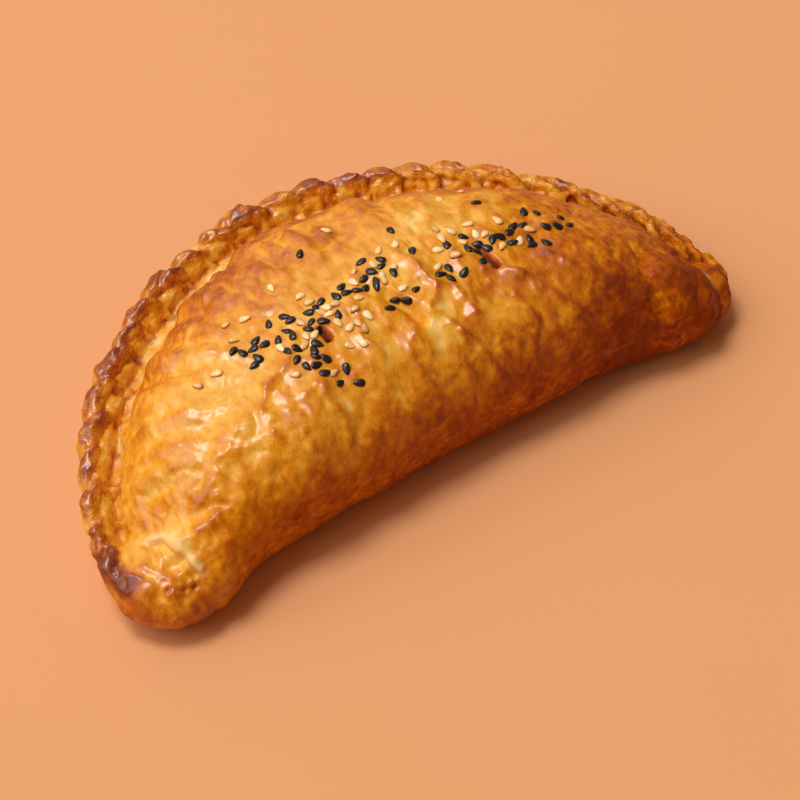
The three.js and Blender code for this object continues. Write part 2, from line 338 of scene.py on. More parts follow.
def foldPlan():
    # each fold's place on the line, its size and how it differs from its neighbours
    random = seededRandom(29)
    uneven = seededRandom(31)
    plan = []
    for i in range(crimp["folds"]):
        even = i / (crimp["folds"] - 1)
        share = mix(crimp["firstFold"], crimp["lastFold"], even)
        scale = mix(crimp["endScale"], 1, math.sin(math.pi * even))
        own = 1 + crimp["scaleSpread"] * (random() - 0.5)
        scale *= own * mix(crimp["firstScale"], crimp["lastScale"], even)
        jitter = crimp["jitter"] * (random() - 0.5) / crimp["folds"]
        turn = crimp["turnSpread"] * (random() - 0.5)
        width = 1 + crimp["widthSpread"] * (uneven() - 0.5)
        proud = 1 + crimp["proudSpread"] * (uneven() - 0.5)
        tone = uneven()
        reach = 1 + crimp["reachSpread"] * (uneven() - 0.5)
        plan.append({
            "share": share + jitter, "scale": scale, "turn": turn,
            "width": width, "tone": tone, "reach": reach,
            "proud": proud * min(crimp["firstProud"] + crimp["proudStep"] * i, 1),
            "flat": float(smooth(crimp["flatFrom"], crimp["flatTo"], share)),
        })
    return plan


def shapeFold(sphere, fold):
    # one strand: it starts beside the dome, rolls over the centre line and tucks under on the outside
    t = (1 - sphere[:, 2]) / 2      # 0 at its inner end, 1 at its outer end
    angle = np.radians(mix(crimp["innerAngle"], crimp["outerAngle"], t) + fold["turn"])
    flat = fold["flat"]
    slant = (0.5 - t) * mix(crimp["slant"], crimp["flatSlant"], flat) * fold["scale"] / line["length"]
    place, along, out, up = crimpFrame(fold["share"] + slant)
    outward = out * np.cos(angle)[:, None] + up * np.sin(angle)[:, None]
    across = sphere[:, 0]
    level = sphere[:, 1]
    ownSpot = np.full(len(t), fold["tone"] * 50)
    wobble = waves(np.stack([t * 9, across * 3, ownSpot], 1), *crimp["wobble"])
    knuckle = mix(smooth(-0.02, 0.2, t), 1, 0.8 * flat)
    belly = mix(crimp["tailBelly"], crimp["belly"], knuckle) * (1 - crimp["endThinning"] * smooth(0.8, 1, t))
    radius = crimp["strandRadius"] * fold["proud"] * belly * (1 + crimp["wobbleRise"] * wobble)
    radius = radius * (1 - crimp["flatThinning"] * flat)
    proud = level * radius * (1 + 0.12 * across) + across * crimp["lean"] * (1 - 0.7 * flat) * knuckle
    proud = proud + mix(crimp["strandOffset"], crimp["flatOffset"], flat) * mix(0.4, 1, knuckle)
    ahead = across + crimp["overhang"] * np.clip(level, 0, 1) * (1 - across * across)
    ahead = ahead + crimp["wobbleAhead"] * wobble
    taper = mix(mix(crimp["tailTaper"], 1, smooth(0.0, 0.25, t)), crimp["flatTaper"], flat)
    ahead = ahead * crimp["strandWidth"] * fold["width"] * fold["scale"] * taper
    sideways = crimp["knuckleOut"] * (1 - flat) - crimp["tailReach"] * fold["reach"] * smooth(0.16, 0.03, t)
    upwards = crimp["knuckleUp"] * (1 - 0.6 * flat) - crimp["tailDrop"] * (1 - knuckle)
    middle = place + out * sideways[:, None] + up * upwards[:, None]
    return middle + outward * (proud * fold["scale"])[:, None] + along * ahead[:, None]


def shapeTube(sphere, radius, outward, flatOutward, rise):
    # a lumpy tube beside or under the folds, closed at both ends
    share = 0.5 + 0.5 * sphere[:, 2]
    flat = smooth(crimp["flatFrom"], crimp["flatTo"], share)
    place, _, out, up = crimpFrame(share)
    ring = np.maximum(np.hypot(sphere[:, 0], sphere[:, 1]), 1e-6)
    size = radius * mix(0.9, 1, np.sqrt(np.abs(np.sin(math.pi * share)))) * np.minimum(ring * 12, 1)
    size = size * (1 - 0.2 * flat)
    lumps = waves(place, *crimp["tubeLumps"])
    wander = waves(place, *crimp["tubeWander"])
    sideways = size * sphere[:, 0] / ring + mix(outward, flatOutward, flat) + crimp["wanderOut"] * wander
    upwards = size * sphere[:, 1] / ring + rise * (1 - flat) + crimp["lumpRise"] * lumps
    return place + out * sideways[:, None] + up * upwards[:, None]


def joined(pieces, name):
    bpy.ops.object.select_all(action="DESELECT")
    for piece in pieces:
        piece.select_set(True)
    bpy.context.view_layer.objects.active = pieces[0]
    bpy.ops.object.join()
    whole = bpy.context.object
    whole.name = name
    return whole


def joinCrust():
    pieces = []
    notes = []      # for every point: its place, its fold's number and where it lies on the fold

    def keep(kind, shape, number=caseNumber):
        piece, sphere = addSphere(kind)
        points = shape(sphere)
        writePoints(piece.data, points)
        pieces.append(piece)
        along = (1 - sphere[:, 2]) / 2
        notes.append((points, np.full(len(points), number), sphere[:, 0], along))

    keep("dome", shapeDome)
    keep("core", lambda s: shapeTube(s, crimp["coreRadius"], crimp["coreOut"], 0, crimp["coreRise"]))
    inside = -crimp["flangeIn"]
    radius, rise = crimp["flangeRadius"], crimp["flangeRise"]
    keep("flange", lambda s: shapeTube(s, radius, inside, inside, rise), flangeNumber)
    for x, y, z, length, width, height in corners:
        keep("corner", lambda s: s * (length, width, height) + (x, y, z))
    for number, fold in enumerate(foldPlan()):
        keep("fold", lambda s: shapeFold(s, fold), number)
    crust = joined(pieces, "crust")
    bpy.ops.object.mode_set(mode="EDIT")
    bpy.ops.mesh.select_all(action="SELECT")
    bpy.ops.mesh.normals_make_consistent(inside=False)
    bpy.ops.object.mode_set(mode="OBJECT")
    return crust, [np.concatenate(column) for column in zip(*notes)]


def applyModifier(piece, kind, **settings):
    modifier = piece.modifiers.new(kind.lower(), kind)
    for key, value in settings.items():
        setattr(modifier, key, value)
    bpy.context.view_layer.objects.active = piece
    bpy.ops.object.modifier_apply(modifier=modifier.name)


def linksOf(mesh):
    # both ends of every edge, both ways round, and how many neighbours each point has
    edges = np.empty(len(mesh.edges) * 2, np.int64)
    mesh.edges.foreach_get("vertices", edges)
    edges = edges.reshape(-1, 2)
    ends = np.concatenate([edges[:, 0], edges[:, 1]])
    others = np.concatenate([edges[:, 1], edges[:, 0]])
    return ends, others, np.bincount(ends, minlength=len(mesh.vertices))


def blurred(values, links, times):
    # each value drawn towards its neighbours' mean, so many times
    ends, others, count = links
    values = np.array(values, float)
    for _ in range(times):
        if values.ndim == 1:
            near = np.bincount(ends, values[others], len(count)) / count
        else:
            sums = [np.bincount(ends, values[others, k], len(count)) for k in range(3)]
            near = np.stack(sums, 1) / count[:, None]
        values = 0.4 * values + 0.6 * near
    return values


crust, notes = joinCrust()
applyModifier(crust, "REMESH", mode="VOXEL", voxel_size=voxelSize, adaptivity=0)
print("crust remeshed:", len(crust.data.vertices), "points")


noise = {  # each layer's size of bumps in millimetres, its seed, octaves and stretch
    "wanderX": (7, 17), "wanderY": (7, 18),
    # relief of the case
    "swell": (26, 3), "puff": (11, 5, 2), "pucker": (12, 37, 2, (1, 4, 4)), "plate": (14, 9, 3),
    "ripple": (2.8, 11, 2, (1, 3.0, 1.6)), "streak": (2.4, 13, 2, (5, 1, 1)),
    "worm": (5.0, 12, 2, (1, 2.0, 1.3)), "fineWorm": (2.7, 52, 1, (1, 1.7, 1.2)), "wormShare": (20, 39),
    "fibre": (1.8, 14, 2, (3, 1, 1)), "grit": (2.0, 16, 2), "vein": (4.5, 51, 2, (0.8, 1, 1.8)),
    # and of the crimp
    "wrinkle": (3.2, 15, 2, (1.5, 1, 1)), "ropeLump": (5, 19, 2), "crease": (1.9, 20, 1, (1.5, 1, 1)),
    "seamWander": (6, 33), "seamShare": (9, 35),
    # browning of the case
    "mottle": (9, 21, 3), "fineMottle": (2.4, 23, 2, (1, 2, 1)), "patchy": (7, 22, 3),
    "band": (5, 47, 3, (4, 1, 1)), "lobeMottle": (3.5, 49, 2),
    # and of the crimp
    "cap": (4, 27, 2), "ropeMottle": (3, 25, 2), "flour": (3.5, 29, 2),
}
relief = {
    "vents": [  # from and to, half width, depth, and painted shade inside the slit
        ((-20.8, 27), (-20.3, 24), 0.9, 2.2, 0.8),
        ((0.5, 27), (3.4, 15.5), 1.5, 2.6, 0.2),
        ((30.3, 26), (31.4, 19.5), 0.8, 2.6, 0.9),
    ],
    "ventEdge": 1.25, "pitReach": 2.6,      # of the painted shade and the dull ground, in half widths
    "ridges": [  # points along it, half width, rise, and how round its top is
        ([(11, 38), (12.5, 27), (13.5, 22), (10.5, 18.8), (6.8, 16.8), (9.2, 15), (10.3, 9.5), (9.6, 6)],
         1.3, 1.3, 1.2),
        ([(9.8, 9), (13.5, 4), (15, -2)], 1.1, 1.1, 1.1),
        ([(16.5, 21), (17.5, 14), (16.5, 8)], 1.8, 0.9, 1.3),
        ([(24, 28), (27.5, 20)], 1.6, 1.0, 1.2),
        ([(-0.5, 13), (0.5, 7)], 0.8, 0.8, 1.1),
        ([(6.8, 3), (8.5, -1.5)], 0.8, 0.8, 1.1),
        ([(24, 30), (22, 20), (17, 10)], 1.8, 0.9, 1.1),
        ([(33, 17), (38, 9), (44, 0)], 2.0, 1.1, 1.2),
        ([(-14, 16), (-17, 7), (-18, -1)], 3.4, 1.0, 2),
        ([(-30, 13), (-31, 8), (-28.5, 4), (-31, 0)], 1.6, 1.1, 1.2),
        ([(-35, 14), (-37, 5), (-41, -2)], 4.0, 1.0, 2),
        ([(-43, 22), (-48, 14), (-47, 8)], 1.5, 0.8, 1.2),
        ([(46, 16), (50, 8), (57, 2)], 2.0, 0.8, 1.3),
        ([(-1, 14), (-5, 8), (-4, 1)], 2.0, 0.9, 1.2),
        ([(-8, 30), (-13, 20), (-12, 12)], 1.4, 0.9, 1.1),
        ([(-27, 30), (-33, 24), (-42, 21)], 1.6, 0.9, 1.1),
        ([(36, 30), (45, 26), (55, 24)], 1.6, 0.8, 1.1),
    ],
    # the flap's edge over the left tip
    "arch": ([(-86.5, 13.2), (-83.6, 10.2), (-81.6, 5.6), (-81.2, 0.5), (-80.6, -4.0)], 1.6, 1.2, 2),
    # the folded edge down the left tip: points along it, half width, rise
    "sideLobe": ([(-94.8, 23), (-96, 17), (-97, 11), (-97, 5)], 2.8, 0.9),
    "popped": [  # blisters that have burst: x, y, radius
        (-86.5, -5.0, 1.3), (-83.8, -5.6, 1.2), (-89.8, -3.4, 1.0),
    ],
    # popRise and popDepth shape each burst blister; the last number is painted shade in its hole
    "popRise": 0.35, "popDepth": 0.9, "popHoleShade": 0.4,
    "grooves": [  # points along it, half width, depth
        ([(-87.6, 17.5), (-88.6, 14.2), (-87.2, 11.2), (-84.9, 8.9), (-83.7, 5.0), (-83.2, 1.0),
          (-82.6, -3.4)], 0.6, 0.6),
        ([(-73.5, 18.5), (-70.0, 17.0), (-68.8, 13.5), (-71.0, 11.0)], 1.0, 0.6),
        ([(-26, 12), (-27, 3), (-31, -4)], 2.6, 0.7),
        ([(84, 6), (86.5, 0), (87, -6)], 1.2, 2.2),
        ([(68, 4), (68.5, -4), (66, -11)], 2.6, 0.9),
    ],
    "lumps": [  # x, y, radius, rise
        (-94.5, 0, 3, 0.8), (-88, -2, 3.5, 0.7), (92, -3, 3.4, 0.9), (-57, 15, 6, 1.2), (-70, 22, 7, 0.9),
        (-66, 32, 9, 0.9), (-45, 6, 7, 1.0), (79, -3, 8, 2.2), (33.2, 14.4, 2.6, 1.0), (-79, 2, 5, 1.0),
        (58, 14, 12, 1.0),
    ],
    "bubbles": [  # x, y, spread, how many, largest radius, rise
        (-55, 4, 14, 30, 3.2, 0.7), (-84, -4, 9, 26, 1.9, 0.6), (-64, 22, 12, 10, 3.0, 0.35),
        (-30, 0, 16, 12, 2.4, 0.35), (70, 0, 16, 18, 2.4, 0.45), (20, 4, 24, 14, 2.6, 0.4),
        (-20, 46, 30, 10, 3.4, 0.3), (48, 26, 16, 8, 3.0, 0.3),
    ],
    "wander": 1.2,      # how far the marks stray from their lines
    # rise of each layer of noise on the case, in millimetres
    "swell": 1.0, "puff": 1.1, "pucker": 3.8, "vein": 1.0, "plate": 0.22, "ripple": 0.25, "streak": 0.5,
    "fibre": 0.45, "grit": 0.34, "worm": 0.9,
    "terraces": 4.2,    # plates of skin in one wave of their noise
    # and on the crimp
    "wrinkle": 0.8, "crease": 0.35, "lump": 0.5, "parting": 0.9, "crack": 1.6,
    "seam": (7.2, 0.6, 0.8),    # how far inside the crimp's line, its wander and half width
}


def nearestOf(points, places):
    # for each point the number of the place that lies nearest
    tree = KDTree(len(places))
    for i, place in enumerate(places):
        tree.insert(place, i)
    tree.balance()
    return np.array([tree.find(p)[1] for p in points])


def crimpPlaces(points):
    # for each point: millimetres along the crimp, out of its centre line and above it
    at = nearestOf(points, line["place"])
    off = points - line["place"][at]
    run = at / crimp["steps"] * line["length"] + (off * line["along"][at]).sum(1)
    return run, (off * line["out"][at]).sum(1), (off * line["up"][at]).sum(1)


def pieceNotes(points, notes):
    # what the joined pieces say about the nearest point: its fold, and how far across and along that it lies
    places, number, across, along = notes
    at = nearestOf(points, places)
    return number[at], across[at], along[at]


def noiseAt(points, name):
    return waves(points, *noise[name])


def terraces(level, edge=0.3):
    # the level in whole steps, each with a short slope
    whole = np.floor(level)
    return whole + smooth(0, edge, level - whole)


def offPath(x, y, path):
    # how far each point lies from a line through the path's corners, seen from above
    nearest = np.full(len(x), 1e9)
    for start, end in zip(path, path[1:]):
        way = np.subtract(end, start)
        along = np.clip(((x - start[0]) * way[0] + (y - start[1]) * way[1]) / (way @ way), 0, 1)
        off = np.hypot(x - start[0] - along * way[0], y - start[1] - along * way[1])
        nearest = np.minimum(nearest, off)
    return nearest


def bubbleRise(x, y):
    random = seededRandom(61)
    rise = np.zeros(len(x))
    for middleX, middleY, spread, count, largest, up in relief["bubbles"]:
        for _ in range(count):
            reach = spread * math.sqrt(random())
            way = 2 * math.pi * random()
            radius = largest * mix(0.35, 1, random() ** 2)
            lift = up * mix(0.5, 1, random())
            off = np.hypot(x - middleX - reach * math.cos(way), y - middleY - reach * math.sin(way))
            rise = np.maximum(rise, lift * fade(off, radius, 4))
    return rise


def mapCrust(crust, notes):
    # where every point lies: along the crimp, on its fold, and its share of each zone
    skin = SimpleNamespace(links=linksOf(crust.data))
    skin.points = blurred(readPoints(crust.data), skin.links, 2)
    writePoints(crust.data, skin.points)
    skin.normals = readPoints(crust.data, "normal")
    x, y, z = skin.points.T
    skin.run, skin.outward, skin.above = crimpPlaces(skin.points)
    skin.crimpSpace = np.stack([skin.run, skin.outward, skin.above], 1)
    skin.number, skin.across, skin.along = pieceNotes(skin.points, notes)
    skin.onFold = blurred(skin.number >= 0, skin.links, 2)
    skin.onFlange = blurred(skin.number == flangeNumber, skin.links, 2)
    nearRope = smooth(15, 9, np.hypot(skin.outward, skin.above))
    nearRope = nearRope * smooth(-8, -5, skin.outward) * smooth(-6.5, -4.5, skin.outward)
    inRope = np.maximum(np.maximum(skin.onFold, skin.onFlange), nearRope)
    skin.inRope = np.clip(inRope, 0, 1) * smooth(8, 24, skin.run)
    skin.facingUp = smooth(0.0, 0.5, skin.normals[:, 2])
    skin.high = smooth(0.6, 4, z)       # the underside stays flat
    wander = np.stack([noiseAt(skin.points, "wanderX"), noiseAt(skin.points, "wanderY")], 1)
    skin.wander = wander * relief["wander"]
    skin.bentX = x + skin.wander[:, 0]
    skin.bentY = y + skin.wander[:, 1]
    skin.tip = smooth(-68, -82, x)
    skin.right = smooth(30, 62, x)
    offTip = 1 - 0.8 * skin.tip * smooth(2, 9, z)
    skin.low = smooth(24, 12, z) * smooth(14, 2, y) * offTip
    skin.flank = fade(x + 58, 26) * fade(y - 12, 26, 4)
    skin.rear = fade(skin.outward + 14, 11) * smooth(170, 80, skin.run)
    pull = smooth(-42, -14, skin.outward) * smooth(-5.5, -9, skin.outward)
    skin.pull = pull * smooth(240, 150, skin.run)       # where the crimp puckers the case
    return skin


def markCrust(skin):
    # the slashes, ridges, grooves and blisters that each have their own place
    x, y, z = skin.points.T
    rise = np.zeros(len(x))
    skin.vent = np.zeros(len(x))
    skin.pit = np.zeros(len(x))
    # the last number of each slit is painted shade, darkening the slit and its walls
    for start, end, width, depth, browning in relief["vents"]:
        off = offPath(mix(x, skin.bentX, 0.5), mix(y, skin.bentY, 0.5), [start, end])
        rise -= depth * fade(off, width) * skin.facingUp
        skin.vent = np.maximum(skin.vent, browning * fade(off, relief["ventEdge"] * width, 3))
        skin.pit = np.maximum(skin.pit, fade(off, relief["pitReach"] * width))
    for path, width, up, power in [*relief["ridges"], relief["arch"]]:
        rise += up * fade(offPath(skin.bentX, skin.bentY, path), width, power) * skin.facingUp
    path, width, up = relief["sideLobe"]
    lobe = fade(offPath(skin.bentX, skin.bentY, path), width, 4)
    skin.lobe = lobe * smooth(-0.4, 0.2, skin.normals[:, 2]) * smooth(2, 5, z)
    rise += up * skin.lobe
    skin.cut = np.zeros(len(x))
    for path, width, depth in relief["grooves"]:
        skin.cut = np.maximum(skin.cut, depth * fade(offPath(skin.bentX, skin.bentY, path), width))
    for lumpX, lumpY, radius, up in relief["lumps"]:
        rise += up * fade(np.hypot(skin.bentX - lumpX, skin.bentY - lumpY), radius, 4) * skin.facingUp
    for popX, popY, radius in relief["popped"]:
        off = np.hypot(mix(x, skin.bentX, 0.4) - popX, mix(y, skin.bentY, 0.4) - popY)
        hole = fade(off, 0.6 * radius) * skin.facingUp
        rim = relief["popRise"] * fade(off - radius, 0.5 * radius) * skin.facingUp
        rise += rim - relief["popDepth"] * hole
        # painted shade in the burst blister's hole
        skin.vent = np.maximum(skin.vent, relief["popHoleShade"] * hole)
    skin.bubbles = bubbleRise(skin.bentX, skin.bentY) * skin.facingUp
    return rise


def wormRise(skin):
    # thin winding crinkles, coarse and fine, that come and go over the case
    calm = 0.6 * np.maximum(skin.low, skin.right)
    worm = 0.35 - np.abs(noiseAt(skin.points + skin.wander[:, [1, 0, 1]], "worm"))
    fine = noiseAt(skin.points + 0.6 * skin.wander[:, [0, 1, 0]], "fineWorm")
    worm += 0.14 - 0.4 * np.abs(fine)
    worm *= mix(0.35, 1, smooth(-0.45, 0.25, noiseAt(skin.points, "wormShare")))
    worm *= (1 - calm) * (1 - 0.55 * skin.flank)
    return worm


def veinRise(skin):
    # deep creases where the ends are folded together
    x, _, z = skin.points.T
    rough = np.maximum(smooth(84, 88, x), 0.9 * smooth(62, 76, x) * smooth(30, 20, z))
    rough = np.maximum(rough, 0.4 * skin.tip * smooth(24, 12, z))
    return -np.abs(noiseAt(skin.points + skin.wander[:, [0, 1, 1]], "vein")) * rough


def crinkleDome(skin):
    # the fine relief of the case
    points = skin.points
    puff = (np.abs(noiseAt(points, "puff")) - 0.25) * (1 - 0.55 * skin.flank)
    skin.pucker = noiseAt(skin.crimpSpace, "pucker") * skin.pull * (1 - 0.45 * skin.flank)
    plate = terraces(relief["terraces"] * noiseAt(points, "plate")) * relief["plate"]
    plate = plate - blurred(plate, skin.links, 40)
    plateShare = 0.15 + 0.85 * np.clip(skin.flank * 1.2 + 0.8 * skin.rear + 0.4 * skin.right, 0, 1)
    skin.plate = plate * plateShare
    ripple = noiseAt(points + skin.wander[:, [0, 1, 0]], "ripple")
    ripple = ripple * (1 - 0.7 * skin.low) * (1 - 0.6 * skin.flank)
    skin.streak = noiseAt(skin.crimpSpace, "streak") * skin.rear * smooth(40, 100, skin.run)
    fibre = noiseAt(points, "fibre") * skin.low
    skin.grit = noiseAt(points, "grit") * np.maximum(skin.right, skin.low)
    skin.vein = veinRise(skin)
    rise = relief["swell"] * noiseAt(points, "swell") + relief["puff"] * puff + relief["pucker"] * skin.pucker
    rise = rise + skin.plate + skin.bubbles - skin.cut
    rise = rise + relief["ripple"] * ripple + relief["streak"] * skin.streak + relief["fibre"] * fibre
    return rise + relief["grit"] * skin.grit + relief["worm"] * wormRise(skin) + relief["vein"] * skin.vein


def crinkleRope(skin):
    # the wrinkled caps of the folds, and the partings between them
    ends, others, count = skin.links
    parted = np.bincount(ends, skin.number[ends] != skin.number[others], len(skin.number)) / count
    skin.parted = np.clip(blurred(parted, skin.links, 1) * 2.2, 0, 1) * skin.onFold
    inner = 0.06 * (skin.across - 0.3)      # the brown cap reaches further in on the far side of each fold
    crest = smooth(-0.9, -0.3, skin.across) * smooth(1.05, 0.7, skin.across)
    crest *= smooth(0.13, 0.26, skin.along + inner) * smooth(0.66, 0.46, skin.along)
    crest = blurred(np.where(skin.number >= 0, crest, 0), skin.links, 2)
    skin.crest = crest * smooth(12, 30, skin.run)
    skin.wrinkle = -np.abs(noiseAt(skin.crimpSpace, "wrinkle"))
    skin.ropeLump = noiseAt(skin.crimpSpace, "ropeLump")
    rise = relief["wrinkle"] * skin.wrinkle * (0.45 + 0.75 * skin.crest) + relief["lump"] * skin.ropeLump
    rise += relief["crease"] * noiseAt(skin.crimpSpace, "crease")
    return rise - relief["parting"] * skin.parted


def seamShare(skin):
    # the broken crack between the case and the crimp
    inside, stray, width = relief["seam"]
    seam = fade(skin.outward + inside + stray * noiseAt(skin.crimpSpace, "seamWander"), width)
    seam = seam * smooth(-2, 1, skin.above) * smooth(8, 4, skin.above)
    return seam * (smooth(-0.15, 0.2, noiseAt(skin.crimpSpace, "seamShare")) * smooth(190, 120, skin.run))


def shapeCrust(crust, notes):
    skin = mapCrust(crust, notes)
    rise = markCrust(skin)
    domeRise = crinkleDome(skin)
    ropeRise = crinkleRope(skin)
    skin.seam = seamShare(skin)
    lobeRise = relief["wrinkle"] * skin.wrinkle + relief["lump"] * skin.ropeLump
    rise += skin.high * ((1 - skin.inRope) * domeRise + skin.inRope * ropeRise - relief["crack"] * skin.seam)
    rise += skin.high * 0.5 * relief["vein"] * skin.vein * skin.inRope + skin.high * skin.lobe * lobeRise
    moved = skin.points + skin.normals * rise[:, None]
    moved[:, 2] = np.maximum(moved[:, 2], 0)
    writePoints(crust.data, moved)
    skin.points = readPoints(crust.data)
    skin.normals = readPoints(crust.data, "normal")
    return skin


skin = shapeCrust(crust, notes)
print("relief done")


# browning of the crust; some of it is painted shade and painted light, as noted at each place
browningAndShading = {
    "base": 0.38, "right": 0.13, "low": 0.16, "mottle": 0.22, "fineMottle": 0.08, "streak": 0.34,
    # vein and seam darken the end creases and the crack beside the crimp: painted shade
    "grit": 0.06, "pucker": 0.22, "vein": 0.35, "rearBand": 0.14, "seam": 0.25,
    "lowMottle": 0.6,       # share of the mottling that is left low down, on the right and on the left flank
    "patchy": 0.14,         # smaller patches on the right
    "bubble": 0.22,         # how much paler the blisters are
    "lobe": 0.20,           # the folded edge down the left tip
    "most": 0.78,           # nothing but the painted shade in the slits and the burst blisters is darker
    # on the crimp
    "rope": 0.26, "crest": 0.40, "tail": -0.14, "foldTone": 0.20, "parting": 0.24, "ropeMottle": 0.20,
    "hollow": 0.2, "ropeEnd": 0.18, "ropeMost": 0.69,
    "spots": [  # x, y, reach along, reach across, browning; a few lighter ones are partly painted light, as noted
        # lighter spots at (36, 46), (-4, 22), (-10, 36) and (6, 15): partly paler dough, partly a painted
        # sheen on the crown
        (61, -2, 9, 8, 0.24), (80, -6, 10, 8, 0.10), (45, 0, 14, 12, 0.04), (36, 46, 22, 12, -0.20),
        # the lighter spot at (72, -11) is painted bounce light from the floor on the foot of the right end
        (-52, 32, 24, 20, -0.12), (72, -11, 9, 7, -0.10), (0, -4, 18, 6, 0.05), (-28, 4, 10, 6, -0.06),
        (-21, 25, 6, 6, -0.04), (31, 24, 5, 7, -0.03), (-4, 22, 26, 12, -0.10), (-66, 18, 12, 10, -0.08),
        (-80, 8, 9, 10, -0.14), (6, 15, 9, 8, -0.16), (-14, 55, 28, 8, 0.08), (-10, 36, 26, 10, -0.10),
        (-54, 5, 12, 7, -0.06), (26, 36, 18, 10, -0.04),
    ],
    "patches": [  # the same, on the folds too
        (-98, 12, 2.4, 10, 0.16), (93, -2, 4, 8, 0.16),
        # the dark patch at (-84, -9) is painted shade of a small hole
        (-96, 3, 2.2, 2.6, 0.22), (-84, -9, 3.2, 1.6, 0.2), (92, 11, 4, 7, -0.16),
        # the narrow dark patch at (87.5, -5) is painted shade along the crevice at the end of the rope
        (-88, -5, 6, 3, -0.08), (-90, 14, 4, 5, -0.10), (87.5, -5, 1.2, 5, 0.45),
    ],
}
glazing = {  # the glaze's share, and how much of it each zone loses
    "base": 0.8, "front": 0.75, "rope": 0.2, "cream": 0.4, "right": 0.32, "vent": 1.6, "pit": 0.6,
    "flank": 0.15,
}


def setShare(mesh, name, values):
    attribute = mesh.attributes.new(name, "FLOAT", "POINT")
    attribute.data.foreach_set("value", np.clip(values, 0, 1).astype(np.float32))


def addSpots(bake, skin, spots):
    # changes the given browning, with its painted shade and light, itself
    for spotX, spotY, along, across, amount in spots:
        bake += amount * fade(skin.bentX - spotX, along) * fade(skin.bentY - spotY, across)


def proudOf(skin, reach):
    # how far each point stands out of its surroundings
    return ((skin.points - blurred(skin.points, skin.links, reach)) * skin.normals).sum(1)


def caseBrowningAndShade(skin, wide, narrow, front):
    x = skin.points[:, 0]
    bake = np.full(len(x), browningAndShading["base"])
    bake += browningAndShading["right"] * smooth(-10, 80, x)
    # darker and redder low on the front: partly browning, partly painted shade and painted orange bounce
    # light from the floor
    bake += browningAndShading["low"] * front * (1 - 0.8 * skin.tip)
    addSpots(bake, skin, browningAndShading["spots"])
    plain = mix(1, browningAndShading["lowMottle"], np.maximum(np.maximum(skin.right, skin.low), skin.flank))
    bake += browningAndShading["mottle"] * noiseAt(skin.points, "mottle") * plain
    bake += browningAndShading["fineMottle"] * noiseAt(skin.points, "fineMottle")
    bake += browningAndShading["patchy"] * noiseAt(skin.points, "patchy") * smooth(-20, 40, x)
    bake += browningAndShading["streak"] * np.abs(skin.streak) + browningAndShading["grit"] * skin.grit
    bake -= browningAndShading["pucker"] * np.clip(skin.pucker, -0.6, 0.4) + browningAndShading["bubble"] * skin.bubbles
    proud = 0.3 * np.clip(narrow, -0.3, 0.3) + 0.10 * np.clip(skin.plate, -0.4, 0.4)
    bake += proud + 0.10 * np.clip(wide, -1, 1)
    band = fade(skin.outward + 12.5, 4.5) * smooth(60, 90, skin.run) * smooth(260, 200, skin.run)
    bake += browningAndShading["rearBand"] * band * (1 + 1.2 * noiseAt(skin.crimpSpace, "band"))
    return bake


def ropeBrowningAndShade(skin, wide, tail):
    tones = np.array([fold["tone"] for fold in foldPlan()] + [0.5, 0.5])    # flange and case come last
    crest = skin.crest * smooth(-1.2, 0.2, wide) * (0.8 + 0.8 * noiseAt(skin.points, "cap"))
    rope = browningAndShading["rope"] + browningAndShading["crest"] * crest + browningAndShading["tail"] * np.clip(tail, 0, 1)
    uneven = browningAndShading["foldTone"] * (tones[skin.number] - 0.5)
    uneven = uneven + browningAndShading["ropeMottle"] * noiseAt(skin.points, "ropeMottle")
    # random tone of each fold, and painted shade in the rope's hollows and pockets
    rope += uneven + browningAndShading["hollow"] * smooth(-0.2, -1.0, wide)
    # painted shade in the partings between the folds
    rope += browningAndShading["parting"] * skin.parted
    rope += smooth(165, 215, skin.run) * (0.02 - 0.2 * skin.crest)
    rope += browningAndShading["ropeEnd"] * smooth(line["length"] - 22, line["length"] - 10, skin.run)
    return np.minimum(rope, browningAndShading["ropeMost"])


def creamShare(skin, tail):
    # flour beside the crimp, and pale dough on the arch of the left tip and at the groove of the right end
    x, y, z = skin.points.T
    flour = skin.onFlange + 0.6 * tail * skin.onFold
    dusted = smooth(-0.3, 0.6, noiseAt(skin.points, "flour")) * smooth(220, 120, skin.run)
    flour *= dusted * smooth(-2, 1, skin.above)
    arch = fade(offPath(skin.bentX, skin.bentY, relief["arch"][0]), 1.2) * smooth(10, 14, z)
    edge = fade(x - 88.7, 0.6) * fade(y + 3, 2.2) * smooth(8, 12, z)
    return 0.5 * np.clip(flour, 0, 1) + 0.8 * arch + 0.4 * edge


